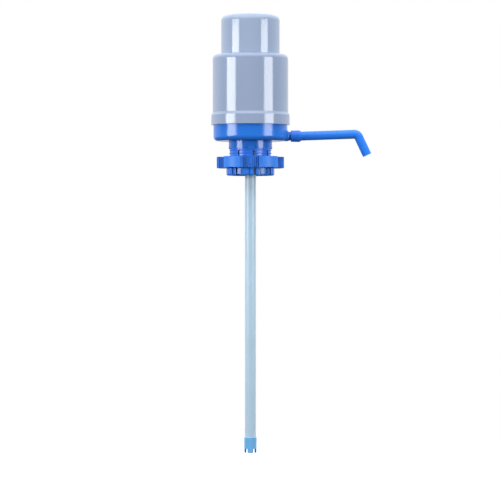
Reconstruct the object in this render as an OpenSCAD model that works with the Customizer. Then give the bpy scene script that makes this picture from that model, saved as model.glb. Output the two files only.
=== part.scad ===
// Hand pump for drinking water: its button squeezes a bellows, whose air drives the water up
// the dip tube and out of the spout.
// Frame: the origin is where the neck's rim meets the neck gasket, +Z is up the pump
// and +X points along the spout. All sizes are in millimetres.

/* [Neck] */
// Outside diameter of the neck that the collet grips
neck_d = 55; // [54:0.1:56]
// Radial room between that neck and the collet
neck_room = 0.2; // [0.1:0.05:0.4]
// Thickness of the neck gasket
gasket_t = 3; // [2:0.25:4]
// Bore of the neck gasket
gasket_bore_d = 39; // [38:0.5:42]

/* [Base] */
// Outside diameter of the base bowl
base_d = 107.8; // [104:0.2:112]
// Wall of the base bowl
base_wall = 2.5; // [2:0.1:3.2]
// Height of the bowl's underside above the neck's rim
base_rise = 12.1; // [11:0.1:14]
// Height of the bowl, underside to rim
bowl_height = 37.5; // [34:0.5:42]
// Thickness of the bowl's floor
floor_t = 3; // [2.4:0.1:3.6]
// Radius of the bowl's lower edge
bowl_fillet = 6.5; // [4:0.5:8]
// Wall of the skirt that hangs from the bowl round the collet
skirt_wall = 1.8; // [1.4:0.1:2.4]
// How far the skirt hangs below the bowl
skirt_drop = 10.6; // [8:0.1:10.8]
// Width of the key notches in the skirt
notch_w = 11; // [8:0.5:14]
// Height of the key notches
notch_h = 3; // [2:0.25:4]
// Direction of the first key notch, from the front
notch_turn = 2.4; // [-20:0.1:20]
// Diameter of the air holes down through the boss
air_hole_d = 4.4; // [3:0.2:4.8]
// Number of air holes
air_holes = 8; // [4:1:10]
// Height of the air chamber between the bowl's floor and the valve deck
chamber_h = 15.9; // [15:0.1:18]

/* [Housing] */
// How far the housing stands out over the bowl
housing_step = 1.2; // [0.8:0.1:2.5]
// Wall of the housing
housing_wall = 2.5; // [2:0.1:3]
// Height of the housing, lower edge to shoulder
housing_height = 102.8; // [96:0.1:115]
// Radius of the rounded shoulder
shoulder_fillet = 7; // [4:0.5:7.5]
// How far the lower band stands out from the housing
band_proud = 2.2; // [1.8:0.1:3]
// Height of the lower band
band_h = 15.2; // [15:0.1:22]
// Height of the slope above the lower band
band_slope = 3.2; // [2:0.1:5]
// How far the band laps down over the bowl
band_lap = 14.2; // [12:0.1:15]
// Depth of the guide sleeve below the shoulder
sleeve_depth = 28; // [20:0.5:34]
// Wall of the guide sleeve
sleeve_wall = 2; // [1.6:0.1:2.4]
// Ribs that brace the guide sleeve
sleeve_ribs = 8; // [4:1:12]
// Thickness of the bracing ribs
rib_t = 1.6; // [1.2:0.1:2.4]

/* [Press button] */
// Width of the housing's shoulder round the button
shoulder_w = 12.4; // [11.9:0.1:13.6]
// Height of the button's rim above the housing's shoulder, released
button_show = 57; // [52:0.5:62]
// Rise of the domed top above the rim
button_crown = 1.9; // [1:0.1:4]
// Radius of the rounded rim
button_fillet = 8.5; // [6:0.5:11]
// Wall of the button
button_wall = 2.2; // [1.8:0.1:2.8]
// Full stroke of the button
stroke = 48; // [38:1:50]
// Snap hooks round the button's foot
hook_count = 6; // [3:1:8]
// Angle that one snap hook spans
hook_span = 26; // [16:1:34]
// Height of a snap hook
hook_h = 3; // [2:0.25:4]
// How far a snap hook stands out
hook_reach = 2.4; // [1.8:0.1:3]
// Height of the slits beside each hook
slit_h = 14; // [8:1:20]
// Width of those slits
slit_w = 1.4; // [1:0.1:2]

/* [Bellows] */
// Number of folds
folds = 13; // [8:1:15]
// Depth of a fold
fold_depth = 7; // [5:0.25:8]
// Wall of the bellows
bellows_wall = 1.2; // [0.9:0.1:1.5]
// Length of the straight cuff at each end
cuff_len = 6; // [4:0.5:10]
// Thickness of the upper clamping lip
upper_lip_t = 1.8; // [1.4:0.1:2.4]
// Bore of the upper clamping lip
upper_lip_bore_d = 44; // [42:0.5:47]
// Thickness of the lower clamping lip
lower_lip_t = 2; // [1.5:0.1:2.6]
// Room between the folds and the button's wall
bellows_room = 1.4; // [1:0.1:2.5]

/* [Valves and plates] */
// Thickness of the valve deck
deck_t = 4; // [3.6:0.1:5]
// Height of the ribs under the valve deck
deck_rib_h = 3; // [2:0.25:3.5]
// Thickness of the bellows plate
plate_t = 3; // [2.4:0.1:4]
// Depth of the button's bosses that carry the bellows plate
plate_drop = 8; // [6:0.5:10]
// Thickness of the clamp ring's flange
ring_t = 4; // [3:0.25:6]
// Diameter of a valve disc
valve_d = 19; // [17:0.5:20]
// Thickness of a valve disc
valve_t = 1.2; // [0.9:0.1:1.4]
// Diameter of a valve stem
stem_d = 3; // [2.4:0.1:3.4]
// Lift of a valve
valve_lift = 1.5; // [1:0.1:1.8]
// Diameter of a valve port
port_d = 3.4; // [2.4:0.1:3.8]
// Number of ports under a valve
ports = 6; // [4:1:7]

/* [Screws] */
// Number of deck screws
deck_screw_count = 6; // [3:1:8]
// Number of plate screws
plate_screw_count = 3; // [3:1:4]
// Shank diameter of the screws
shank_d = 3.5; // [3:0.1:3.8]
// Head diameter of the screws
head_d = 6; // [5.4:0.1:6.2]
// Head height of the screws
head_h = 2.2; // [1.6:0.1:2.6]
// Thread length of a deck screw in its boss
deck_grip = 10; // [6:0.5:12]
// Thread length of a plate screw in its boss
plate_grip = 6.5; // [4:0.25:7]

/* [Collet and nut] */
// Wall of the collet at the thread's root
collet_wall = 2; // [1.7:0.1:2.4]
// Height of a thread ridge
thread_h = 1.1; // [0.8:0.05:1.4]
// Pitch of the thread
thread_pitch = 4.4; // [4:0.1:5]
// Number of thread ridges on the collet
thread_ridges = 6; // [5:1:6]
// Number of slots between the collet's fingers
finger_slots = 8; // [6:2:10]
// Width of the slots
slot_w = 2.9; // [2:0.1:3.6]
// Depth of the closed end of the slots below the neck's rim
slot_start = 1.9; // [1:0.1:4]
// Direction of the first slot, from the front
slot_turn = 10.5; // [0:0.5:45]
// How far the fingers' feet stand out
foot_proud = 5.2; // [4.6:0.1:7]
// Height of the fingers' feet
foot_ring_h = 10.7; // [10:0.1:14]
// Wall round the hollow in a finger's foot
foot_wall = 2.2; // [1.8:0.1:2.6]
// How far the grip beads reach in under the neck's bead
grip = 1.4; // [1:0.1:2]
// Angle of each groove in a foot, from the middle of the finger
groove_angle = 9.5; // [7:0.25:12]
// Width of those grooves
groove_w = 1.6; // [1:0.1:2.2]
// Wall of the nut between its thread and the recesses
nut_wall = 5.9; // [4.5:0.1:7.5]
// How far the lugs stand out
lug_reach = 12.9; // [9:0.1:15]
// Height of the nut
nut_h = 16.4; // [13:0.1:17]
// Radius of the lugs' upper edge
lug_fillet = 2; // [1:0.25:3]
// Wall of the hollow lugs
lug_wall = 2.2; // [1.8:0.1:3]
// Number of lugs
lugs = 5; // [4:1:6]
// Angle that one lug spans
lug_span = 35; // [26:0.5:38]
// Direction of the recess between the two front lugs, from the front
lug_turn = 1; // [-20:0.5:20]
// Radius of a lug's outer face
lug_round = 32; // [26:1:40]
// Diameter of the grip ribs on the nut
nut_rib_d = 1.8; // [1.4:0.1:2.2]
// Spacing of the grip ribs
nut_rib_step = 2.9; // [2.4:0.1:3.6]

/* [Spout] */
// How far the nipple lies above the bowl's underside
nipple_lift = 0.9; // [0:0.1:1]
// Diameter of the nipple
nipple_d = 13; // [12.6:0.1:13.4]
// Bore of the nipple
water_bore = 8; // [6:0.25:8.5]
// Gap between the bowl and the spout's collar
nipple_show = 4.6; // [3:0.1:8]
// Length of the spigot inside the collar
spigot_len = 12; // [10:0.25:12.5]
// Diameter of the spigot
spigot_d = 12.4; // [11.8:0.1:12.6]
// Running gap between the spigot and the collar
swivel_gap = 0.08; // [0.05:0.01:0.1]
// Length of the collar
collar_len = 13.8; // [13.6:0.1:16]
// Diameter of the collar at its open end
collar_d = 16.6; // [16:0.1:18]
// Diameter of the collar at its outer end
collar_end_d = 17.1; // [16.4:0.1:18.4]
// Diameter of the spout's tube
tube_d = 13.2; // [12.6:0.1:14]
// Wall of the spout's tube
spout_wall = 1.6; // [1.2:0.1:2]
// Distance from the bowl's axis to the elbow
spout_reach = 155.5; // [120:0.5:180]
// Rise of the tube towards the elbow, in degrees
spout_rise = 2; // [0:0.1:4]
// Slope of the tip below level, in degrees
tip_slope = 64.8; // [45:0.2:90]
// Length of the tip, elbow to mouth
tip_len = 33.8; // [24:0.2:44]
// Radius of the bend between tube and tip, along its middle
bend_r = 7.4; // [7.2:0.1:14]

/* [Dip tube] */
// Outside diameter of the dip tube
dip_d = 16; // [15.4:0.1:16.4]
// Wall of the dip tube
dip_wall = 1.7; // [1.5:0.05:2]
// Length of the dip tube, three sections together
dip_len = 441; // [330:3:480]
// Length of the spigot between two sections
joint_len = 12; // [8:1:20]
// Wall of the socket that holds the tube
socket_wall = 2.5; // [2.2:0.1:2.8]
// How far the socket reaches below the neck's rim
socket_drop = 8; // [6:0.5:12]
// Wall of the foot round the tube
shoe_wall = 1.05; // [0.9:0.05:2]
// Length of the foot
foot_len = 22.5; // [20:0.5:30]
// How far the foot reaches up over the tube
foot_grip = 11.5; // [8:0.5:14]
// Height of the inlet notches in the foot
inlet_h = 6; // [4:0.5:8]
// Width of the inlet notches
inlet_w = 5; // [4:0.25:7]

/* [Seals] */
// Section of the seal in the spout's swivel
spout_seal_t = 1.3; // [1:0.1:1.5]
// Section of the seal round the dip tube
tube_seal_t = 1.4; // [1.1:0.1:1.6]
// Section of the seal round the valve deck
deck_seal_t = 1.8; // [1.4:0.1:2]

/* [Hidden] */
$fn = 96;
eps = 0.01;

grey = [0.64, 0.70, 0.80];
blue = [0.19, 0.46, 0.86];
white = [0.93, 0.94, 0.93];
milky = [0.84, 0.90, 0.95];
sky = [0.45, 0.70, 0.89];
rubber = [0.80, 0.83, 0.85];
steel = [0.70, 0.71, 0.73];

// clearances
slide_gap = 0.4;    // button in its guide sleeve
stop_gap = 0.3;     // between pieces that meet at a stop
seat_gap = 0.05;    // under a valve disc, round the tube's foot and at the bellows' moving end
push_gap = 0.1;     // between pieces that are pushed together
thread_gap = 0.3;   // between the crests of the thread and the nut
screw_gap = 0.15;   // round a screw in the plates that it clamps
bend_step = 0.05;   // step between the spout's bend and its tubes, outside and inside

// details that several pieces share
front = -90;        // direction of the pump's front, across the spout
plate_screw_turn = 30;
ring_wall = 1.4;    // ring that centres the neck gasket
edge = 0.6;         // bevel of a moulded edge

// levels, upwards from the neck's rim
boss_z = gasket_t;
bowl_z = base_rise;
floor_z = bowl_z + floor_t;
deck_z = floor_z + chamber_h;
deck_top_z = deck_z + deck_t;
rim_z = bowl_z + bowl_height;
skirt_z = bowl_z - skirt_drop;
band_z = rim_z - band_lap;
shoulder_z = band_z + housing_height;
button_rim_z = shoulder_z + button_show;
sleeve_z = shoulder_z - sleeve_depth;
hook_z = sleeve_z - stop_gap - hook_h;
lip_z = button_rim_z - button_wall - plate_drop;
plate_z = lip_z - upper_lip_t - plate_t;
ring_top_z = deck_top_z + ring_t;
stop_z = hook_z - stroke - stop_gap;

// radii
base_r = base_d / 2;
base_in_r = base_r - base_wall;
housing_r = base_r + housing_step;
housing_in_r = housing_r - housing_wall;
button_r = housing_r - shoulder_w;
button_in_r = button_r - button_wall;
sleeve_r = button_r + slide_gap;
fold_r = button_in_r - bellows_room;
root_r = fold_r - fold_depth;
cuff_r = (fold_r + root_r) / 2;
lower_lip_r = button_r + 0.9;
plate_r = root_r - bellows_wall - 0.5;
screw_ring_r = button_r + head_d / 2 + 0.1;
neck_r = neck_d / 2;
collet_in_r = neck_r + neck_room;
collet_r = collet_in_r + collet_wall;
crest_r = collet_r + thread_h;
boss_r = neck_r - push_gap;
boss_wall = 2.5;
screw_boss_wall = 2;
skirt_in_r = collet_r + push_gap;
skirt_r = skirt_in_r + skirt_wall;
dip_r = dip_d / 2;
dip_in_r = dip_r - dip_wall;
socket_r = dip_r + push_gap + socket_wall;
riser_in_r = dip_in_r - 0.3;
riser_r = riser_in_r + boss_wall;
riser_top_z = deck_z - valve_t - valve_lift - 1.8;
tube_stop_z = bowl_z - 1.1;
gasket_ring_r = gasket_bore_d / 2 - push_gap;
air_ring_r = (socket_r + gasket_ring_r - ring_wall) / 2;

// thread levels
nut_top_z = -slot_start - 2 * thread_pitch + 0.2;
nut_z = nut_top_z - nut_h;
feet_z = nut_z - 0.2;
feet_low_z = feet_z - foot_ring_h;

// nut
nut_bore_r = crest_r + thread_gap;
core_r = nut_bore_r + nut_wall;
lug_r = core_r + lug_reach;

// spout places
nipple_r = nipple_d / 2;
spigot_r = spigot_d / 2;
spout_z = bowl_z + nipple_r + nipple_lift;
collar_x = base_r + nipple_show;
spigot_x = collar_x + spigot_len;
collar_end_x = collar_x + collar_len;
elbow_z = spout_z + (spout_reach - collar_end_x) * tan(spout_rise);
bend_turn = spout_rise + tip_slope;
bend_start = bend_r * tan(bend_turn / 2);
spout_seal_x = collar_x + 0.6 * spigot_len;

// dip tube places
section_len = dip_len / 3;
dip_end_z = tube_stop_z - dip_len;
foot_top_z = dip_end_z + foot_grip;
foot_z = foot_top_z - foot_len;

// Copies of a shape turned about Z, the first at the angle start
module ring_of(count, start = 0) {
    for (i = [0 : count - 1]) {
        rotate([0, 0, start + i * 360 / count]) children();
    }
}

// A solid cylinder from one level to another
module post(r, z0, z1) {
    translate([0, 0, z0]) cylinder(r = r, h = z1 - z0);
}

// Half section of a plug with a rounded upper edge
module rounded_half(r, z0, z1, fillet) {
    translate([0, z0]) square([r, z1 - fillet - z0]);
    translate([0, z1 - fillet - eps]) square([r - fillet, fillet + eps]);
    intersection() {
        translate([r - fillet, z1 - fillet]) circle(r = fillet);
        translate([0, z0]) square([r + 1, z1 - z0 + 1]);
    }
}

// Half section of a plug with a rounded rim and a domed top, whose arcs run into each other
module domed_half(r, z0, rim_z, crown, fillet) {
    flat = r - fillet;
    dome = (flat * flat + crown * crown) / (2 * crown) + fillet;
    dome_z = rim_z + crown - dome;
    corner_z = dome_z + sqrt((dome - fillet) * (dome - fillet) - flat * flat);
    rise = corner_z - dome_z;
    past = fillet / (dome - fillet);
    translate([0, z0]) square([r, corner_z - z0]);
    translate([flat, corner_z]) circle(r = fillet);
    intersection() {
        translate([0, dome_z]) circle(r = dome, $fn = 720);
        polygon([
            [0, corner_z - eps],
            [flat, corner_z - eps],
            [flat, corner_z],
            [flat + flat * past, corner_z + rise * past],
            [flat + flat * 0.1, corner_z + rise * 0.1],
            [0, corner_z + rise * 0.1],
        ]);
    }
}

// Section of a seal ring
module seal_ring(r, section, z) {
    translate([0, 0, z]) rotate_extrude() translate([r, 0]) circle(d = section, $fn = 32);
}

// A panhead screw that points up (turn = 0) or down (turn = 180), its head's seat at z
module screw(length, turn) {
    rotate([turn, 0, 0]) {
        cylinder(d = shank_d, h = length - shank_d / 2);
        translate([0, 0, length - shank_d / 2]) cylinder(d1 = shank_d, d2 = 0.6, h = shank_d / 2);
        difference() {
            translate([0, 0, -head_h]) cylinder(d1 = head_d - 1.2, d2 = head_d, h = head_h);
            for (a = [0, 90]) {
                rotate([0, 0, a]) translate([-1.6, -0.4, -head_h - eps]) cube([3.2, 0.8, 1.2]);
            }
        }
    }
}

module press_button() {
    color(grey) {
        difference() {
            rotate_extrude() intersection() {
                domed_half(button_r, hook_z, button_rim_z, button_crown, button_fillet);
                translate([0, hook_z]) square([button_r, button_rim_z]);
            }
            rotate_extrude() intersection() {
                domed_half(
                    button_in_r, hook_z - 1, button_rim_z - button_wall, button_crown,
                    button_fillet - button_wall);
                translate([0, hook_z - 1]) square([button_r, button_rim_z]);
            }
            ring_of(hook_count) {
                for (side = [-1, 1]) {
                    rotate([0, 0, side * (hook_span / 2 + 1.5)])
                    translate([button_in_r - 1, -slit_w / 2, hook_z - 1])
                    cube([button_wall + 2, slit_w, slit_h + 1]);
                }
            }
        }
        // snap hooks
        ring_of(hook_count) {
            rotate([0, 0, -hook_span / 2]) rotate_extrude(angle = hook_span) polygon([
                [button_r - 0.5, hook_z],
                [button_r + 0.4, hook_z],
                [button_r + hook_reach, hook_z + hook_h - 1],
                [button_r + hook_reach, hook_z + hook_h],
                [button_r - 0.5, hook_z + hook_h],
            ]);
        }
        // ring and bosses under the top, which carry the bellows' lip and its plate
        intersection() {
            rotate_extrude() domed_half(
                button_r - button_wall / 2, plate_z, button_rim_z - button_wall / 2, button_crown,
                button_fillet - button_wall / 2);
            union() {
                difference() {
                    rotate_extrude() translate([upper_lip_bore_d / 2 + 1.5, lip_z + seat_gap])
                        square([2.4, button_show]);
                    for (a = [0, 90]) {
                        rotate([0, 0, a]) translate([-button_r, -3, lip_z - 1]) cube([2 * button_r, 6, 5]);
                    }
                }
                ring_of(plate_screw_count, plate_screw_turn) {
                    translate([plate_screw_r(), 0, 0]) difference() {
                        post(shank_d / 2 + 1.6, plate_z + plate_t, button_rim_z + button_crown);
                        post(shank_d / 2, plate_z, plate_z + plate_t + plate_grip + 0.5);
                    }
                }
            }
        }
    }
}

function plate_screw_r() = upper_lip_bore_d / 2 - 4.6;

module housing() {
    color(grey) {
        difference() {
            rotate_extrude() housing_section();
            // clearance for the button through the shoulder and its sleeve
            post(sleeve_r, sleeve_z - 1, shoulder_z + 1);
        }
        ring_of(sleeve_ribs, 22.5) {
            translate([sleeve_r + sleeve_wall - 0.5, -rib_t / 2, sleeve_z + 6])
            cube([housing_in_r - sleeve_r - sleeve_wall + 1, rib_t, sleeve_depth - 6 - housing_wall + 0.5]);
        }
    }
}

module housing_section() {
    band_r = housing_r + band_proud;
    difference() {
        union() {
            rounded_half(housing_r, band_z, shoulder_z, shoulder_fillet);
            polygon([
                [housing_r - 1, band_z],
                [band_r - 0.4, band_z],
                [band_r, band_z + 0.4],
                [band_r, band_z + band_h - 0.8],
                [band_r - 0.5, band_z + band_h],
                [housing_r, band_z + band_h + band_slope],
                [housing_r - 1, band_z + band_h + band_slope],
            ]);
        }
        difference() {
            translate([0, -1]) rounded_half(
                housing_in_r, band_z, shoulder_z - housing_wall + 1, shoulder_fillet - housing_wall);
            // guide sleeve
            translate([0, sleeve_z]) square([sleeve_r + sleeve_wall, sleeve_depth]);
        }
        // socket for the bowl's rim
        translate([0, band_z - 1]) square([base_r + stop_gap, rim_z - band_z + 1]);
        translate([base_r - 1, snap_z() - 1.3]) square([1.9 + stop_gap / 2, 2.6]);
    }
}

function snap_z() = rim_z - 6;

module bellows() {
    // the folds run between the two cuffs
    z0 = deck_top_z;
    z1 = lip_z;
    first = z0 + lower_lip_t + cuff_len;
    last = z1 - upper_lip_t - cuff_len;
    step = (last - first) / folds;
    w = bellows_wall;
    outer = [for (i = [0 : folds - 1]) each [
        [root_r, first + i * step],
        [fold_r, first + (i + 0.42) * step],
        [fold_r, first + (i + 0.58) * step],
    ]];
    inner = [for (i = [folds - 1 : -1 : 0]) each [
        [fold_r - w, first + (i + 0.56) * step],
        [fold_r - w, first + (i + 0.44) * step],
        [root_r - w, first + i * step],
    ]];
    color(white) rotate_extrude() polygon([
        [cuff_r - w, z0],
        [lower_lip_r, z0],
        [lower_lip_r, z0 + lower_lip_t],
        [cuff_r, z0 + lower_lip_t],
        [cuff_r, first - 2],
        each outer,
        [root_r, last],
        [cuff_r, last + 2],
        [cuff_r, z1],
        [upper_lip_bore_d / 2, z1],
        [upper_lip_bore_d / 2, z1 - upper_lip_t],
        [cuff_r - w, z1 - upper_lip_t],
        [cuff_r - w, last + 2],
        [root_r - w, last],
        each inner,
        [cuff_r - w, first - 2],
    ]);
}

module bellows_plate() {
    color(white) difference() {
        union() {
            post(plate_r, plate_z, plate_z + plate_t - seat_gap);
            // the middle meets the button's bosses, which reach down through the bellows' lip
            post(upper_lip_bore_d / 2 - push_gap, plate_z, plate_z + plate_t);
        }
        valve_ports(plate_z, plate_t);
        ring_of(plate_screw_count, plate_screw_turn) {
            translate([plate_screw_r(), 0, 0])
                post(shank_d / 2 + screw_gap, plate_z - 1, plate_z + plate_t + 1);
        }
    }
}

// Ports and stem hole of a valve seat
module valve_ports(z, thickness) {
    post(stem_d / 2 + 0.2, z - 1, z + thickness + 1);
    ring_of(ports) {
        translate([port_ring_r(), 0, 0]) post(port_d / 2, z - 1, z + thickness + 1);
    }
}

function port_ring_r() = (valve_d / 2 + stem_d / 2) / 2 + 0.4;

// Rubber disc valve: the disc closes the ports from below, the stem's barb limits its lift
module valve(seat_z, thickness) {
    disc_r = valve_d / 2;
    stem_r = stem_d / 2;
    barb_z = seat_z + thickness + valve_lift;
    color(rubber) rotate_extrude() polygon([
        [0, seat_z - seat_gap - valve_t - 0.4],
        [stem_r + 1, seat_z - seat_gap - valve_t - 0.4],
        [disc_r - 0.5, seat_z - seat_gap - valve_t + 0.3],
        [disc_r, seat_z - seat_gap - valve_t + 0.5],
        [disc_r, seat_z - seat_gap],
        [stem_r, seat_z - seat_gap],
        [stem_r, barb_z],
        [stem_r + 0.9, barb_z],
        [stem_r + 0.9, barb_z + 0.6],
        [stem_r - 0.4, barb_z + 2.2],
        [0, barb_z + 2.2],
    ]);
}

module intake_valve() valve(plate_z, plate_t);

module discharge_valve() valve(deck_z, deck_t);

module plate_screws() {
    color(steel) ring_of(plate_screw_count, plate_screw_turn) {
        translate([plate_screw_r(), 0, plate_z]) screw(plate_t + plate_grip, 0);
    }
}

module clamp_ring() {
    color(white) difference() {
        rotate_extrude() polygon([
            [fold_r + 0.8, deck_top_z + lower_lip_t],
            [lower_lip_r + push_gap, deck_top_z + lower_lip_t],
            [lower_lip_r + push_gap, deck_top_z],
            [base_in_r - push_gap - 0.4, deck_top_z],
            [base_in_r - push_gap - 0.4, ring_top_z - 0.8],
            [base_in_r - push_gap - 1.2, ring_top_z],
            [button_r, ring_top_z],
            [button_r, stop_z],
            [fold_r + 0.8, stop_z],
        ]);
        ring_of(deck_screw_count, deck_screw_turn()) {
            translate([screw_ring_r, 0, 0]) post(shank_d / 2 + screw_gap, deck_z, ring_top_z + 1);
        }
    }
}

function deck_screw_turn() = 180 / deck_screw_count;

module valve_deck() {
    deck_r = base_in_r - push_gap;
    color(white) difference() {
        union() {
            rotate_extrude() difference() {
                translate([0, deck_z]) square([deck_r, deck_t]);
                translate([deck_r - deck_seal_t + push_gap, deck_z + deck_t / 2 - deck_seal_t / 2 - 0.2])
                    square([deck_seal_t + 1, deck_seal_t + 0.4]);
            }
            ring_of(6) {
                translate([valve_d / 2 + 3, -rib_t / 2, deck_z - deck_rib_h])
                cube([cuff_r - valve_d / 2 - 3, rib_t, deck_rib_h + 0.5]);
            }
        }
        valve_ports(deck_z, deck_t);
        ring_of(deck_screw_count, deck_screw_turn()) {
            translate([screw_ring_r, 0, 0]) post(shank_d / 2 + screw_gap, deck_z - 1, deck_top_z + 1);
        }
    }
}

module deck_seal() {
    color(rubber) seal_ring(base_in_r - deck_seal_t / 2, deck_seal_t, deck_z + deck_t / 2);
}

module deck_screws() {
    color(steel) ring_of(deck_screw_count, deck_screw_turn()) {
        translate([screw_ring_r, 0, ring_top_z]) screw(ring_t + deck_t + deck_grip, 180);
    }
}

module base() {
    color(blue) difference() {
        union() {
            rotate_extrude() base_section();
            // screw bosses, each with a web to the bowl's wall
            ring_of(deck_screw_count, deck_screw_turn()) {
                translate([screw_ring_r, 0, 0]) post(shank_d / 2 + screw_boss_wall, bowl_z + 1, deck_z);
                translate([screw_ring_r, -rib_t / 2, floor_z - 1])
                    cube([base_in_r + 1 - screw_ring_r, rib_t, deck_z - floor_z - 1]);
            }
            nipple();
        }
        ring_of(deck_screw_count, deck_screw_turn()) {
            translate([screw_ring_r, 0, 0]) post(shank_d / 2, deck_z - deck_grip - 1, deck_z + 1);
        }
        ring_of(air_holes, 180 / air_holes) {
            translate([air_ring_r, 0, 0]) post(air_hole_d / 2, boss_z - 1, boss_z + boss_wall + 1);
        }
        // key notches in the skirt's edge
        ring_of(4, notch_turn + front) {
            translate([collet_r - 1, -notch_w / 2, skirt_z - 1])
                cube([skirt_wall + 3, notch_w, notch_h + 1]);
        }
        // water way: up the riser and out of the nipple
        post(riser_in_r, tube_stop_z - 1, riser_top_z - 2);
        translate([0, 0, spout_z]) rotate([0, 90, 0]) cylinder(d = water_bore, h = spigot_x + 1);
    }
}

module base_section() {
    difference() {
        union() {
            // bowl
            difference() {
                translate([0, bowl_z + rim_z]) mirror([0, 1])
                    rounded_half(base_r, bowl_z, rim_z, bowl_fillet);
                translate([0, floor_z + rim_z + 1]) mirror([0, 1]) rounded_half(
                    base_in_r, floor_z, rim_z + 1, bowl_fillet - base_wall);
            }
            // snap bead under the housing's band
            translate([base_r - 0.5, snap_z() - 0.7]) square([1.2, 1.4]);
            // ledge under the valve deck
            translate([base_in_r - 1.6, deck_z - 2.4]) square([2, 2.4]);
            // skirt
            translate([skirt_in_r, skirt_z]) square([skirt_wall, skirt_drop + 1]);
            // boss over the neck's mouth, the ring that centres its gasket, and the tube socket
            translate([0, boss_z]) square([boss_r, floor_z - boss_z]);
            translate([gasket_ring_r - ring_wall, 0.8]) square([ring_wall, boss_z]);
            translate([0, -socket_drop]) square([socket_r, bowl_z + socket_drop]);
        }
        // the boss is hollow round the riser
        translate([riser_r, boss_z + boss_wall])
            square([boss_r - boss_wall - riser_r, floor_z - boss_z - boss_wall + 1]);
        // groove for the collet's snap bead
        translate([skirt_in_r - 0.1, bowl_z - 4.2]) square([0.6, 2.4]);
        // tube socket and its seal groove
        translate([0, -socket_drop - 1]) square([dip_r + push_gap, tube_stop_z + socket_drop + 1]);
        translate([dip_r, tube_seal_z() - tube_seal_t / 2 - 0.4]) square([tube_seal_t, tube_seal_t + 0.8]);
    }
    translate([0, tube_stop_z]) square([riser_r, riser_top_z - tube_stop_z]);
}

function tube_seal_z() = -socket_drop + 3.5;

// The channel across the bowl, the nipple and the spigot that the spout turns on
module nipple() {
    groove_r = spigot_r + swivel_gap - 0.05 - spout_seal_t;
    difference() {
        translate([0, 0, spout_z]) rotate([0, 90, 0]) {
            cylinder(r = nipple_r, h = collar_x);
            rotate_extrude() difference() {
                union() {
                    translate([0, collar_x - 1]) square([spigot_r, spigot_len + 1]);
                    translate([0, collar_x + 2]) square([spigot_r + 0.3, 1.2]);
                }
                translate([groove_r, spout_seal_x - spout_seal_t / 2 - 0.2])
                    square([3, spout_seal_t + 0.4]);
            }
            // flare where the nipple leaves the bowl
            rotate_extrude() difference() {
                translate([0, base_r - 5]) square([nipple_r + 3, 8]);
                translate([nipple_r + 3, base_r + 3]) circle(r = 3);
                translate([nipple_r + 3, base_r - 6]) square([4, 10]);
            }
        }
        // the flare ends level with the bowl's underside
        translate([base_r - 20, -20, bowl_z - 20]) cube([60, 40, 20]);
    }
}

module neck_gasket() {
    color(rubber) rotate_extrude() difference() {
        translate([gasket_bore_d / 2, 0]) square([boss_r - 0.2 - gasket_bore_d / 2, gasket_t]);
        translate([gasket_bore_d / 2 + 3.2, gasket_t]) circle(r = 0.5, $fn = 24);
        translate([boss_r - 3, gasket_t]) circle(r = 0.5, $fn = 24);
    }
}

// One ridge of a thread made of rings: base and crest widths, root and crest radii
module ridge(root, crest, base_width, crest_width, z) {
    polygon([
        [root, z - base_width / 2],
        [crest, z - crest_width / 2],
        [crest, z + crest_width / 2],
        [root, z + base_width / 2],
    ]);
}

module collet() {
    foot_r = collet_r + foot_proud;
    top_z = bowl_z - push_gap;
    grip_z = feet_low_z + 2.6;
    color(blue) difference() {
        union() {
            rotate_extrude() difference() {
                union() {
                    translate([collet_in_r, feet_low_z]) square([collet_wall, top_z - feet_low_z]);
                    // snap bead in the skirt's groove
                    translate([collet_r - 0.5, bowl_z - 3.7]) square([0.9, 1.4]);
                    for (i = [0 : thread_ridges - 1]) {
                        ridge(collet_r - 0.2, crest_r, 2.2, 1, thread_z(i));
                    }
                    // feet, with a bevelled lower edge
                    polygon([
                        [collet_in_r, feet_z],
                        [foot_r - 0.6, feet_z],
                        [foot_r, feet_z - 0.6],
                        [foot_r, feet_low_z + 1.6],
                        [foot_r - 1.2, feet_low_z],
                        [collet_in_r, feet_low_z],
                    ]);
                    // grip bead
                    polygon([
                        [collet_in_r + 0.2, grip_z + 3.4],
                        [collet_in_r - neck_room - grip, grip_z + 1],
                        [collet_in_r - neck_room - grip, grip_z - 0.6],
                        [collet_in_r + 0.2, feet_low_z],
                    ]);
                }
                // hollow of the feet, open below
                translate([collet_r, feet_low_z - 1])
                    square([foot_r - foot_wall - collet_r, foot_ring_h + 1 - foot_wall]);
            }
            // keys in the skirt's notches
            ring_of(4, notch_turn + front) {
                translate([collet_r - 1, -notch_w / 2 + 0.4, skirt_z - 0.8])
                    cube([skirt_wall + 1, notch_w - 0.8, notch_h + 0.4]);
            }
        }
        // slots between the fingers
        ring_of(finger_slots, slot_turn + front) {
            translate([collet_in_r - 5, -slot_w / 2, feet_low_z - 1])
                cube([foot_r, slot_w, -slot_start - feet_low_z + 1]);
        }
        // grooves in the feet
        ring_of(finger_slots, slot_turn + front + 180 / finger_slots) {
            for (side = [-1, 1]) {
                rotate([0, 0, side * groove_angle])
                translate([foot_r - 1.1, -groove_w / 2, feet_low_z - 1])
                cube([3, groove_w, foot_ring_h + 1]);
            }
        }
    }
}

// Level of the collet's thread ridge i
function thread_z(i) = -slot_start + 0.6 - i * thread_pitch;

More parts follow.
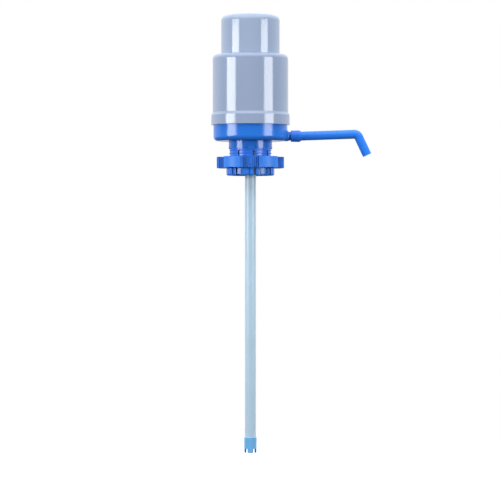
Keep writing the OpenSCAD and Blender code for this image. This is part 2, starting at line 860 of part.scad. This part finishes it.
module clamp_nut() {
    color(blue) difference() {
        intersection() {
            translate([0, 0, nut_z]) linear_extrude(nut_h) nut_outline();
            // rounds the lugs' upper edges and bevels their lower ones
            rotate_extrude() intersection() {
                rounded_half(lug_r, nut_z, nut_top_z, lug_fillet);
                polygon([
                    [0, nut_z],
                    [lug_r - edge, nut_z],
                    [lug_r, nut_z + edge],
                    [lug_r, nut_top_z],
                    [0, nut_top_z],
                ]);
            }
        }
        // the lugs are hollow, open below
        translate([0, 0, nut_z - 1]) linear_extrude(nut_h + 1 - lug_wall) nut_hollows();
        rotate_extrude() difference() {
            union() {
                translate([0, nut_z - 1]) square([nut_bore_r, nut_h + 2]);
                // lead-in at both ends of the thread
                translate([0, nut_z - 1]) square([nut_bore_r + edge, edge + 1]);
                translate([0, nut_top_z - edge]) square([nut_bore_r + edge, edge + 1]);
            }
            for (i = [2 : thread_ridges - 2]) {
                ridge(
                    nut_bore_r + 0.2, nut_bore_r - thread_h + 0.1, 1.9, 0.9,
                    thread_z(i) - thread_pitch / 2);
            }
        }
    }
}

// A lug's wedge, seen from above, with its point at x
module lug_wedge(x) {
    half = lug_span / 2;
    reach = 2 * lug_r;
    polygon([
        [x, 0],
        [x + reach * cos(half), -reach * sin(half)],
        [x + reach * cos(half), reach * sin(half)],
    ]);
}

// The nut from above: a core, the lugs, and the grip ribs on their sides and between them
module nut_outline() {
    half = lug_span / 2;
    floor_angle = 360 / lugs - lug_span;
    side_ribs = floor((lug_r * cos(half) - core_r) / nut_rib_step);
    floor_ribs = floor(core_r * floor_angle * PI / 180 / nut_rib_step);
    circle(r = core_r);
    ring_of(lugs, lug_turn + front + 180 / lugs) {
        intersection() {
            lug_wedge(0);
            translate([lug_r - lug_round, 0]) circle(r = lug_round);
        }
        for (side = [-1, 1]) {
            for (i = [0 : side_ribs - 1]) {
                rotate([0, 0, side * half])
                translate([core_r + (i + 0.9) * nut_rib_step, 0])
                circle(d = nut_rib_d, $fn = 24);
            }
        }
    }
    ring_of(lugs, lug_turn + front) {
        for (i = [0 : floor_ribs - 1]) {
            rotate([0, 0, floor_angle * ((i + 0.5) / floor_ribs - 0.5)])
            translate([core_r, 0])
            circle(d = nut_rib_d, $fn = 24);
        }
    }
}

// The hollows of the lugs from above
module nut_hollows() {
    difference() {
        ring_of(lugs, lug_turn + front + 180 / lugs) intersection() {
            lug_wedge(lug_wall / sin(lug_span / 2));
            translate([lug_r - lug_round, 0]) circle(r = lug_round - lug_wall);
        }
        circle(r = nut_bore_r + lug_wall);
    }
}

module spout() {
    bore_r = tube_d / 2 - spout_wall;
    collar_in_r = spigot_r + swivel_gap;
    color(blue) difference() {
        union() {
            translate([0, 0, spout_z]) rotate([0, 90, 0]) rotate_extrude() collar_section();
            spout_way(tube_d / 2, bend_step, 1, 0);
        }
        // socket that turns on the spigot, with a groove for the spigot's snap ring
        translate([0, 0, spout_z]) rotate([0, 90, 0]) {
            translate([0, 0, collar_x - 1]) cylinder(r = collar_in_r, h = spigot_len + 1 + stop_gap);
            translate([0, 0, collar_x + 1.7]) cylinder(r = spigot_r + 0.6, h = 1.8);
        }
        spout_way(bore_r, -bend_step, collar_len - spigot_len + 1, 1);
    }
}

// Half section of the collar along the pivot: bevelled at its mouth, rounded where it meets the tube
module collar_section() {
    end_r = collar_end_d / 2;
    fillet = 1;
    neck_end = collar_end_x + 1.7;
    polygon([
        [0, collar_x + stop_gap],
        [collar_d / 2 - edge / 2, collar_x + stop_gap],
        [collar_d / 2, collar_x + stop_gap + edge / 2],
        [end_r, collar_end_x - fillet],
        for (a = [15 : 15 : 75]) [end_r - fillet + fillet * cos(a), collar_end_x - fillet + fillet * sin(a)],
        [end_r - fillet, collar_end_x],
        [tube_d / 2 + 0.7, collar_end_x],
        [tube_d / 2 + 0.7, neck_end - 0.4],
        [tube_d / 2 + 0.3, neck_end],
        [0, neck_end],
    ]);
}

// The line of the spout's tube, bend and tip, as a rod of radius r that starts before the
// collar's end and goes past the tip's mouth; the bend's radius differs by step
module spout_way(r, step, before, past) {
    lap = 0.3;
    run = (spout_reach - collar_end_x) / cos(spout_rise) - bend_start;
    translate([collar_end_x, 0, spout_z]) rotate([0, 90 - spout_rise, 0])
        translate([0, 0, -before]) cylinder(r = r, h = run + before + lap);
    translate([spout_reach, 0, elbow_z]) {
        rotate([0, 90 + tip_slope, 0])
            translate([0, 0, bend_start - lap]) cylinder(r = r, h = tip_len - bend_start + lap + past);
        translate([
            -bend_start * cos(spout_rise) + bend_r * sin(spout_rise), 0,
            -bend_start * sin(spout_rise) - bend_r * cos(spout_rise)])
        rotate([90, 0, 0]) rotate([0, 0, 90 - tip_slope])
        rotate_extrude(angle = bend_turn) translate([bend_r, 0]) circle(r = r + step);
    }
}

module spout_seal() {
    color(rubber) translate([spout_seal_x, 0, spout_z]) rotate([0, 90, 0])
        seal_ring(spigot_r + swivel_gap - 0.05 - spout_seal_t / 2, spout_seal_t, 0);
}

module tube_seal() {
    color(rubber) seal_ring(dip_r + tube_seal_t / 2, tube_seal_t, tube_seal_z());
}

// One section of the dip tube, its upper end at z1, with a spigot above and a socket below
module dip_section(z1, z0, has_spigot, has_socket) {
    lap_r = (dip_r + dip_in_r) / 2;
    color(milky) rotate_extrude() difference() {
        union() {
            translate([dip_in_r, z0]) square([dip_wall, z1 - z0]);
            if (has_spigot) {
                translate([dip_in_r, z1 - 1])
                    square([lap_r - push_gap / 2 - dip_in_r, joint_len - push_gap + 1]);
            }
        }
        if (has_socket) {
            translate([dip_in_r - 1, z0 - 1]) square([lap_r - dip_in_r + 1, joint_len + 1]);
        }
    }
}

module dip_tube_upper() dip_section(tube_stop_z, tube_stop_z - section_len, false, true);

module dip_tube_middle()
    dip_section(tube_stop_z - section_len, tube_stop_z - 2 * section_len, true, true);

module dip_tube_lower() dip_section(tube_stop_z - 2 * section_len, dip_end_z, true, false);

module tube_foot() {
    seat_r = dip_r + seat_gap;
    foot_r = seat_r + shoe_wall;
    color(sky) difference() {
        rotate_extrude() polygon([
            [seat_r, foot_top_z],
            [foot_r - 0.4, foot_top_z],
            [foot_r, foot_top_z - 0.4],
            [foot_r, foot_z + 0.6],
            [foot_r - 0.6, foot_z],
            [dip_in_r, foot_z],
            [dip_in_r, dip_end_z - push_gap],
            [seat_r, dip_end_z - push_gap],
        ]);
        // inlet notches
        for (a = [45, 135]) {
            rotate([0, 0, a]) translate([-foot_r - 1, -inlet_w / 2, foot_z - 1])
                cube([2 * foot_r + 2, inlet_w, inlet_h + 1]);
        }
    }
}

press_button();
housing();
bellows();
bellows_plate();
plate_screws();
intake_valve();
clamp_ring();
valve_deck();
discharge_valve();
deck_seal();
deck_screws();
base();
neck_gasket();
collet();
clamp_nut();
spout_seal();
spout();
tube_seal();
dip_tube_upper();
dip_tube_middle();
dip_tube_lower();
tube_foot();
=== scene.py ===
import math

import bmesh
import bpy
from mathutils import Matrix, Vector


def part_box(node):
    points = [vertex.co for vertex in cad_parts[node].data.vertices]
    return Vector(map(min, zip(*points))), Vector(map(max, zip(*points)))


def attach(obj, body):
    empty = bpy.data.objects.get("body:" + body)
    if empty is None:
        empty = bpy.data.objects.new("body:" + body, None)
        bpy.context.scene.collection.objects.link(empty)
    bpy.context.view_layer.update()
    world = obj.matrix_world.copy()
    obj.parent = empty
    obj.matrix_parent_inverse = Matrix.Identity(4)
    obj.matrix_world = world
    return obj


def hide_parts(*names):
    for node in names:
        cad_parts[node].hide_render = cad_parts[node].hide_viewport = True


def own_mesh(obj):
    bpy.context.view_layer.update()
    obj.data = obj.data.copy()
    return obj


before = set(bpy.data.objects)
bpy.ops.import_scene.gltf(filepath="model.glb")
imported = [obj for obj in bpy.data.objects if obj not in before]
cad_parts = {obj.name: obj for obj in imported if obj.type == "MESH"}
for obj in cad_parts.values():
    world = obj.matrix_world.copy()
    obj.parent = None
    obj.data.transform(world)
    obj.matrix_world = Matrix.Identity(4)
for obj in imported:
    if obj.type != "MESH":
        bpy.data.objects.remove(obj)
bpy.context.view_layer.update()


# ---- Base ----
# The bowl with its skirt and nipple is one injection moulding in blue ABS. The mould is
# polished outside, which leaves a gloss with faint orange peel and slow drifts of colour.

class Signal:
    """A value on its way through a material. Sums and products of signals add Math nodes."""

    def __init__(self, finish, socket):
        self.finish, self.socket = finish, socket

    def maths(self, operation, *terms):
        return self.finish.node("ShaderNodeMath", {"operation": operation}, dict(enumerate(terms)))

    def __add__(self, other):
        return self.maths("ADD", self, other)

    def __sub__(self, other):
        return self.maths("SUBTRACT", self, other)

    def __rsub__(self, other):
        return self.maths("SUBTRACT", other, self)

    def __mul__(self, other):
        return self.maths("MULTIPLY", self, other)

    __radd__, __rmul__ = __add__, __mul__

    def rise(self, low, high):
        """0 where the signal is under low, 1 where it is over high, and smooth in between."""
        settings = {"interpolation_type": "SMOOTHSTEP"}
        return self.finish.node("ShaderNodeMapRange", settings, {0: self, 1: low, 2: high})

    def near(self, middle, width):
        """1 where the signal is at middle, falling to 0 at half the width on either side."""
        offset = self.maths("ABSOLUTE", self - middle)
        return 1 - offset.rise(0, width / 2)


def shade(colour, amount):
    """A colour made lighter, or darker where the amount is negative, by a share of itself."""
    return tuple(c * (1 + amount) for c in colour) + (1.0,)


class Finish:
    """A material, or the room's world, in the making: its nodes, and the shader they end in."""

    def __init__(self, name, kept_in=bpy.data.materials, coordinates="Object"):
        self.kept = kept_in.new(name)
        self.kept.use_nodes = True
        self.tree = self.kept.node_tree
        self.tree.nodes.clear()
        self.place = self.node("ShaderNodeTexCoord", output=coordinates)

    def node(self, kind, settings=None, inputs=None, output=0):
        """Adds a node: its settings come first, then values or signals for its inputs."""
        made = self.tree.nodes.new(kind)
        for setting, value in (settings or {}).items():
            setattr(made, setting, value)
        for name, value in (inputs or {}).items():
            if isinstance(value, Signal):
                self.tree.links.new(value.socket, made.inputs[name])
            else:
                made.inputs[name].default_value = value
        return Signal(self, made.outputs[output])

    def along(self, axis):
        """The place along the X, Y or Z axis."""
        return self.node("ShaderNodeSeparateXYZ", {}, {0: self.place}, axis)

    def radius(self):
        """Distance from the pump's axis."""
        without_z = {0: self.place, 1: (1, 1, 0)}
        level = self.node("ShaderNodeVectorMath", {"operation": "MULTIPLY"}, without_z)
        return self.node("ShaderNodeVectorMath", {"operation": "LENGTH"}, {0: level}, "Value")

    def noise(self, size, detail=2.0, stretch=(1, 1, 1)):
        """Noise from 0 to 1. Its features have a size in metres, times the stretch on each axis."""
        scale = tuple(1 / s for s in stretch)
        place = self.node("ShaderNodeMapping", {}, {"Vector": self.place, "Scale": scale})
        inputs = {"Vector": place, "Scale": 1 / size, "Detail": detail}
        return self.node("ShaderNodeTexNoise", {}, inputs)

    def mix(self, share, first, second):
        """The first colour where the share is 0, the second where it is 1."""
        factor, first_colour, second_colour, mixed_colour = 0, 6, 7, 2
        inputs = {factor: share, first_colour: first, second_colour: second}
        return self.node("ShaderNodeMix", {"data_type": "RGBA"}, inputs, mixed_colour)

    def drifting(self, colour, mask, amount):
        """The colour, darker by a share where the mask is 0 and lighter by it where it is 1."""
        return self.mix(mask, shade(colour, -amount), shade(colour, amount))

    def surface(self, colour, roughness, height, **constants):
        """Ends the material in one principled shader, with a relief from a height in metres.
        The constants go on the sockets that they are named after."""
        relief = self.node("ShaderNodeBump", {}, {"Height": height, "Distance": 1.0})
        inputs = {"Base Color": colour, "Roughness": roughness, "Normal": relief}
        inputs |= {name.replace("_", " "): value for name, value in constants.items()}
        self.end_in(self.node("ShaderNodeBsdfPrincipled", {}, inputs))

    def end_in(self, shader, kind="ShaderNodeOutputMaterial"):
        """Adds the output node and links the shader to it."""
        end = self.tree.nodes.new(kind)
        self.tree.links.new(shader.socket, end.inputs["Surface"])

    def on(self, *nodes):
        """Gives the finish to CAD nodes."""
        for name in nodes:
            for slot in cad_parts[name].material_slots:
                slot.material = self.kept


def moulded(name, colour, gloss, drift=0.025, peel=5e-6, wear=None, marks=None, **constants):
    """Injection moulded plastic. gloss is its roughness, peel the depth of the orange peel,
    wear(finish) gives a mask of rubbed places and marks(finish) adds to the relief, in metres."""
    finish = Finish(name)
    flow = finish.noise(size=0.06, detail=1.5)
    skin = finish.noise(size=0.0024)
    grain = finish.noise(size=0.0004, detail=3)
    colour_now = finish.drifting(colour, flow, drift)
    cloud = finish.noise(size=0.018, detail=3)
    roughness = gloss + 0.05 * (cloud - 0.5) + 0.03 * (grain - 0.5)
    height = peel * skin + 0.12 * peel * grain
    if wear:
        worn = wear(finish)
        worn_grain = 3e-6
        colour_now = finish.mix(0.35 * worn, colour_now, shade(colour, 0.5))
        roughness = roughness + 0.14 * worn
        height = height + worn_grain * worn * grain
    if marks:
        height = height + marks(finish)
    finish.surface(colour_now, roughness, height, **constants)
    return finish


base_blue = (0.018, 0.146, 0.575)
ring_z, ring_w, ring_height = 0.0142, 0.0003, 2.5e-5
ring_r, ring_fade = 0.046, 0.001            # it is on faces outside this radius only


def bowl_marks(finish):
    """The witness of the mould's parting ring, a third of the way up the bowl's corner."""
    ring = finish.along("Z").near(ring_z, ring_w)
    return ring_height * ring * finish.radius().rise(ring_r, ring_r + ring_fade)


moulded(
    "bowl_blue_abs", base_blue, 0.18, marks=bowl_marks,
    IOR=1.54, Specular_IOR_Level=0.28).on("base")


# ---- Gasket and seals ----
# The flat gasket under the bowl's boss and the ring seals are moulded in grey silicone and
# held by their own squeeze. They are matt, with a dusty bloom.
silicone_grey = (0.50, 0.54, 0.58)


def silicone(name, colour):
    """Moulded silicone, which lets a little light in, under a patchy bloom."""
    grain_height = 6e-6
    finish = Finish(name)
    bloom = finish.noise(size=0.006, detail=4)
    grain = finish.noise(size=0.0005, detail=3)
    colour_now = finish.drifting(colour, bloom, 0.06)
    roughness = 0.46 + 0.16 * bloom
    finish.surface(
        colour_now, roughness, grain_height * grain, IOR=1.41,
        Subsurface_Weight=0.2, Subsurface_Radius=(1.0, 1.0, 1.0), Subsurface_Scale=0.001)
    return finish


silicone("seal_silicone", silicone_grey).on("neck_gasket", "tube_seal", "spout_seal", "deck_seal")


# ---- Collet ----
# The slotted sleeve whose fingers grip when the nut draws them in, moulded in blue
# polypropylene and snapped into the bowl's skirt. The nut has burnished its thread's crests.
collet_blue = (0.029, 0.168, 0.650)
crest_r, crest_band = 0.0308, 0.0014
feet_top, feet_fade = -0.0264, 0.0007


def burnished_crests(finish):
    crest = finish.radius().near(crest_r, crest_band)
    above_feet = finish.along("Z").rise(feet_top - feet_fade, feet_top)
    patches = finish.noise(size=0.003, detail=3, stretch=(1, 1, 0.3)).rise(0.4, 0.7)
    return crest * above_feet * patches


moulded(
    "collet_blue_pp", collet_blue, 0.24, peel=7e-6, wear=burnished_crests,
    IOR=1.5, Specular_IOR_Level=0.26).on("collet")


# ---- Clamp nut ----
# The five-lobed nut of blue polypropylene that closes the collet's fingers. It is turned by
# hand, so its lobes' faces are rubbed, and the ribs between them hold the mould's texture.
nut_blue = (0.031, 0.176, 0.640)
lobe_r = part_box("clamp_nut")[1].x
rubbed_depth = 0.004                        # from the lobes' faces inwards
recess_r, recess_fade, texture_height = lobe_r - 0.005, 0.002, 9e-6


def rubbed_lobes(finish):
    face = finish.radius().rise(lobe_r - rubbed_depth, lobe_r)
    patches = finish.noise(size=0.004, detail=4, stretch=(1, 1, 0.4)).rise(0.45, 0.75)
    return 0.5 * face * patches


def grip_texture(finish):
    """Spark eroded texture in the recesses, a quarter of a millimetre across."""
    recess = 1 - finish.radius().rise(recess_r, recess_r + recess_fade)
    return texture_height * recess * finish.noise(size=0.00025)


moulded(
    "nut_blue_pp", nut_blue, 0.40, peel=6e-6,
    wear=rubbed_lobes, marks=grip_texture, IOR=1.5, Specular_IOR_Level=0.2).on("clamp_nut")


# ---- Spout ----
# Collar, tube and bent tip in one blue moulding that snaps on the nipple and turns there.
# A fine parting line runs along it in the plane of the bend.
spout_blue = (0.022, 0.170, 0.700)
parting_w, parting_height = 0.0003, 3e-5
wiped_z, clean_z = 0.000, 0.008             # up the tip, from wiped to clean


def parting_line(finish):
    return parting_height * finish.along("Y").near(0, parting_w)


def drip_end(finish):
    """The tip's mouth is wiped and knocked more than the rest."""
    low = 1 - finish.along("Z").rise(wiped_z, clean_z)
    return 0.4 * low * finish.noise(size=0.002, detail=4).rise(0.5, 0.75)


moulded(
    "spout_blue_abs", spout_blue, 0.17, peel=5e-6,
    wear=drip_end, marks=parting_line, IOR=1.54, Specular_IOR_Level=0.23).on("spout")


# ---- Dip tube ----
# Three extruded lengths of milky polyethylene pushed into each other. The die leaves fine
# lines along the tube, and the wall lets light through.
tube_milk = (0.432, 0.587, 0.715)


def extruded(name, colour):
    """Extruded polyethylene, hazy, with the die's lines along Z."""
    line_height = 4e-6
    finish = Finish(name)
    die_lines = finish.noise(size=0.0006, stretch=(1, 1, 400))
    haze = finish.noise(size=0.02, detail=3, stretch=(1, 1, 3))
    colour_now = finish.drifting(colour, haze, 0.05)
    roughness = 0.30 + 0.12 * haze + 0.08 * (die_lines - 0.5)
    finish.surface(
        colour_now, roughness, line_height * die_lines,
        IOR=1.5, Transmission_Weight=0.12, Subsurface_Weight=0.3,
        Subsurface_Radius=(1.0, 1.0, 1.0), Subsurface_Scale=0.002)
    return finish


extruded("milky_tube", tube_milk).on("dip_tube_upper", "dip_tube_middle", "dip_tube_lower")


# ---- Tube foot ----
# A sky blue shoe of polypropylene pushed on the tube's end. Its notches let water in when
# it stands on a floor, which scuffs its lower edge.
foot_sky = (0.138, 0.385, 0.690)
foot_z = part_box("tube_foot")[0].z
scuffed_h = 0.004


def standing_edge(finish):
    low = 1 - finish.along("Z").rise(foot_z, foot_z + scuffed_h)
    return low * finish.noise(size=0.0015, detail=4).rise(0.4, 0.7)


moulded("foot_sky_pp", foot_sky, 0.2, peel=8e-6, wear=standing_edge, IOR=1.5).on("tube_foot")


# ---- Valve deck, clamp ring and bellows plate ----
# The inner plates are moulded in uncoloured polypropylene, off-white and waxy, and held by
# screws. The mould's ejector sleeve has left a faint ring in them.
natural_pp = (0.62, 0.63, 0.61)
ejector_r, ejector_w, ejector_depth = 0.0300, 0.0005, 2.5e-5


def ejector_ring(finish):
    return -ejector_depth * finish.radius().near(ejector_r, ejector_w)


moulded(
    "plate_natural_pp", natural_pp, 0.34, drift=0.015, peel=9e-6, marks=ejector_ring,
    IOR=1.49, Subsurface_Weight=0.15, Subsurface_Radius=(1.0, 0.9, 0.7),
    Subsurface_Scale=0.003).on("valve_deck", "clamp_ring", "bellows_plate")


# ---- Valves ----
# Two silicone discs, each held by its stem's barb: the upper lets air into the bellows and
# the lower lets it out into the base.
valve_silicone = (0.56, 0.58, 0.58)
silicone("valve_silicone", valve_silicone).on("intake_valve", "discharge_valve")


# ---- Screws ----
# Zinc plated panhead screws of steel, made for plastic. Barrel plating leaves fine scratches
# and a slightly blue, cloudy shine.
zinc = (0.56, 0.57, 0.60)


def plated(name, colour):
    """Zinc plating, cloudy and finely scratched."""
    scratch_depth = 4e-6
    finish = Finish(name)
    cloud = finish.noise(size=0.0015, detail=3)
    scratches = finish.noise(size=0.0002, stretch=(1, 12, 1))
    colour_now = finish.mix(cloud, shade(colour, -0.1), shade(colour, 0.08))
    roughness = 0.22 + 0.2 * cloud + 0.08 * scratches
    finish.surface(colour_now, roughness, scratch_depth * scratches, Metallic=1.0)
    return finish


plated("zinc_steel", zinc).on("deck_screws", "plate_screws")


# ---- Bellows ----
# The air chamber and return spring is blow moulded in soft white EVA: thirteen rounded
# folds between two cuffs, with a lip at each end that the plates clamp.
eva_white = (0.66, 0.67, 0.66)
bellows_low, bellows_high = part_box("bellows")
fold_count, steps_in_fold, steps_round = 13, 12, 96
fold_depth, wall, cuff = 0.0070, 0.0012, 0.0060
lower_lip, upper_lip, upper_bore = 0.0020, 0.0018, 0.0220
room_at_lip = 0.0047                        # from the lower lip's edge in to the folds' crests
cuff_slope = 0.002                          # height in which a cuff meets its first fold

lip_r = bellows_high.x
fold_r = lip_r - room_at_lip
root_r = fold_r - fold_depth
cuff_r = (fold_r + root_r) / 2
first_fold = bellows_low.z + lower_lip + cuff
last_fold = bellows_high.z - upper_lip - cuff


def fold_line(inset):
    """The folds' line from below, as points (radius, height): crests wider than their roots."""
    count, fullness = fold_count * steps_in_fold, 0.8
    for i in range(count + 1):
        turn = 2 * math.pi * i / steps_in_fold
        share = (0.5 - 0.5 * math.cos(turn)) ** fullness
        height = first_fold + (last_fold - first_fold) * i / count
        yield root_r - inset + fold_depth * share, height


section = [
    (cuff_r - wall, bellows_low.z),
    (lip_r, bellows_low.z),
    (lip_r, bellows_low.z + lower_lip),
    (cuff_r, bellows_low.z + lower_lip),
    (cuff_r, first_fold - cuff_slope),
    *fold_line(0),
    (cuff_r, last_fold + cuff_slope),
    (cuff_r, bellows_high.z),
    (upper_bore, bellows_high.z),
    (upper_bore, bellows_high.z - upper_lip),
    (cuff_r - wall, bellows_high.z - upper_lip),
    (cuff_r - wall, last_fold + cuff_slope),
    *reversed(list(fold_line(wall))),
    (cuff_r - wall, first_fold - cuff_slope),
]
shape = bmesh.new()
corners = [shape.verts.new((r, 0, z)) for r, z in section]
line = [shape.edges.new(pair) for pair in zip(corners, corners[1:] + corners[:1])]
bmesh.ops.spin(
    shape, geom=corners + line, cent=(0, 0, 0), axis=(0, 0, 1), angle=2 * math.pi,
    steps=steps_round, use_merge=True, use_duplicate=False)
bmesh.ops.remove_doubles(shape, verts=shape.verts, dist=1e-6)
bmesh.ops.recalc_face_normals(shape, faces=shape.faces)
for face in shape.faces:
    face.smooth = True
# A spin leaves its faces in an order that differs from run to run. They are sorted from the
# bottom up, in a direction slanted a little, so that it tells those of one ring apart.
slanted = Vector((0.1, 1, 1000))
shape.faces.sort(key=lambda face: face.calc_center_median().dot(slanted))
bellows_mesh = bpy.data.meshes.new("soft_bellows")
shape.to_mesh(bellows_mesh)
shape.free()
bellows = bpy.data.objects.new("soft_bellows", bellows_mesh)
bpy.context.scene.collection.objects.link(bellows)
bellows_mesh.set_sharp_from_angle(angle=math.radians(50))


def blown_eva(name, colour):
    """Blow moulded EVA: darker in its folds' roots, and a seam where the mould's halves meet."""
    darkened_root_depth, seam_w, seam_height, grain_height = 0.003, 0.0006, 4e-5, 8e-6
    finish = Finish(name)
    cloud = finish.noise(size=0.012, detail=3)
    grain = finish.noise(size=0.0007, detail=3)
    # The folds' roots are drawn darker, up to this depth above the root radius.
    in_root = 1 - finish.radius().rise(root_r, root_r + darkened_root_depth)
    clean = finish.drifting(colour, cloud, 0.03)
    colour_now = finish.mix(0.5 * in_root, clean, shade(colour, -0.14))
    seam = finish.along("Y").near(0, seam_w)
    roughness = 0.42 + 0.12 * cloud + 0.06 * in_root
    finish.surface(
        colour_now, roughness, grain_height * grain + seam_height * seam, IOR=1.48,
        Subsurface_Weight=0.25, Subsurface_Radius=(1.0, 0.9, 0.8), Subsurface_Scale=0.003)
    return finish


bellows_mesh.materials.append(blown_eva("bellows_eva", eva_white).kept)
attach(bellows, "pump")
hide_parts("bellows")
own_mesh(bellows)


# ---- Housing ----
# The grey ABS shell is moulded in one piece with its lower band and the sleeve that guides
# the button. It snaps over the bowl's rim.
housing_grey = (0.241, 0.301, 0.425)
band_z, band_h = 0.0435, 0.018


def handled(finish):
    """Faint rubbing on the band, where the pump is held when the nut is turned."""
    band = finish.along("Z").near(band_z, band_h)
    return 0.3 * band * finish.noise(size=0.005, detail=4).rise(0.5, 0.8)


moulded(
    "housing_grey_abs", housing_grey, 0.12, peel=4e-6, wear=handled,
    IOR=1.54, Specular_IOR_Level=0.34).on("housing")


# ---- Press button ----
# The cap that is pushed down, moulded in grey ABS. Its wall is marked by sliding in the
# guide sleeve, and the gate's small sunken disc shows in the middle of its top.
button_grey = (0.263, 0.328, 0.455)
button_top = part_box("press_button")[1].z
marked_z, unmarked_z = button_top - 0.022, button_top - 0.010
gate_r, gate_edge, gate_depth = 0.0022, 0.0004, 6e-5


def slide_marks(finish):
    lines = finish.noise(size=0.0005, stretch=(1, 1, 60)).rise(0.62, 0.74)
    reach = 1 - finish.along("Z").rise(marked_z, unmarked_z)
    return 0.35 * lines * reach


def gate_mark(finish):
    top = finish.along("Z").rise(button_top - 0.001, button_top - 0.0005)
    disc = 1 - finish.radius().rise(gate_r, gate_r + gate_edge)
    return -gate_depth * top * disc


moulded(
    "button_grey_abs", button_grey, 0.11, peel=4e-6,
    wear=slide_marks, marks=gate_mark, IOR=1.54, Specular_IOR_Level=0.34).on("press_button")


# ---- Floor ----
# A round of pale board under the pump, which fades into the white behind it and keeps the
# pump's soft shadow.
floor_z, floor_r, fade_from = -0.490, 1.1, 0.35
paper_grey, white, seen_lift = (0.86, 0.87, 0.87, 1), (1, 1, 1, 1), 0.35
board = bmesh.new()
bmesh.ops.create_circle(board, cap_ends=True, radius=floor_r, segments=96)
bmesh.ops.translate(board, verts=board.verts, vec=(0, 0, floor_z))
floor_mesh = bpy.data.meshes.new("floor")
board.to_mesh(floor_mesh)
board.free()
floor = bpy.data.objects.new("floor", floor_mesh)
bpy.context.scene.collection.objects.link(floor)

paper = Finish("pale_floor")
seen = paper.node("ShaderNodeLightPath", output="Is Camera Ray")
matt = paper.node("ShaderNodeBsdfDiffuse", {}, {"Color": paper_grey})
lift = paper.node("ShaderNodeEmission", {}, {"Color": white, "Strength": seen_lift * seen})
lit = paper.node("ShaderNodeAddShader", {}, {0: matt, 1: lift})
clear = paper.node("ShaderNodeBsdfTransparent")
fade = paper.radius().rise(fade_from, floor_r)
from_below = paper.node("ShaderNodeNewGeometry", output="Backfacing")
paper.end_in(paper.node("ShaderNodeMixShader", {}, {
    0: fade.maths("MAXIMUM", fade, from_below), 1: lit, 2: clear}))
floor_mesh.materials.append(paper.kept)
floor.visible_diffuse = floor.visible_glossy = False        # it throws no light on the pump


# ---- Light ----
# Two softboxes stand left and right in front of the pump, and a wide one hangs above, whose
# light leaves soft shadows under the bowl, the skirt and the nut.
lamps_aim = Vector((0, 0, 0.085))


def softbox(name, turn, elevation, distance, size, radiance):
    """A rectangular lamp that faces the pump; turn is from the front towards the spout."""
    turn, elevation = math.radians(turn), math.radians(elevation)
    away = Vector((
        math.sin(turn) * math.cos(elevation),
        -math.cos(turn) * math.cos(elevation),
        math.sin(elevation)))
    lamp = bpy.data.lights.new(name, "AREA")
    lamp.shape, lamp.size, lamp.size_y = "RECTANGLE", *size
    lamp.energy = radiance * math.pi * size[0] * size[1]
    box = bpy.data.objects.new(name, lamp)
    box.location = lamps_aim + distance * away
    box.rotation_euler = away.to_track_quat("Z", "Y").to_euler()
    box.visible_camera = False
    bpy.context.scene.collection.objects.link(box)


softbox("softbox_left", turn=-60, elevation=0, distance=1.6, size=(0.84, 0.50), radiance=15.8)
softbox("softbox_right", turn=56, elevation=0, distance=1.6, size=(0.82, 0.50), radiance=13.2)
softbox("softbox_above", turn=0, elevation=66, distance=1.5, size=(3.4, 2.0), radiance=1.7)

# The room: white behind the pump, bright above, and dim in front and below. The camera sees
# it all white.
dim, ceiling = 0.10, 0.9
air = Finish("pale_room", bpy.data.worlds, "Generated")
behind = air.along("Y").rise(-0.1, 0.6) * air.along("Z").rise(-0.35, -0.05)
room = dim + (1 - dim) * behind + ceiling * air.along("Z").rise(0.1, 0.9)
in_view = air.node("ShaderNodeLightPath", output="Is Camera Ray")
strength = room + in_view * (1 - room)
air.end_in(
    air.node("ShaderNodeBackground", {}, {"Color": white, "Strength": strength}),
    "ShaderNodeOutputWorld")
bpy.context.scene.world = air.kept


# ---- Camera ----
# It stands level at the height of the picture's middle, below the pump's head, as in the
# photograph, and far enough away for the photograph's nearly parallel view.
camera_data = bpy.data.cameras.new("camera")
camera_data.sensor_width, camera_data.lens = 36.0, 190.5
camera = bpy.data.objects.new("camera", camera_data)
camera.location = (-0.0006, -3.85, -0.1462)
camera.rotation_euler = (math.radians(90), 0, 0)
bpy.context.scene.collection.objects.link(camera)
bpy.context.scene.camera = camera
bpy.context.scene.view_settings.view_transform = "Standard"
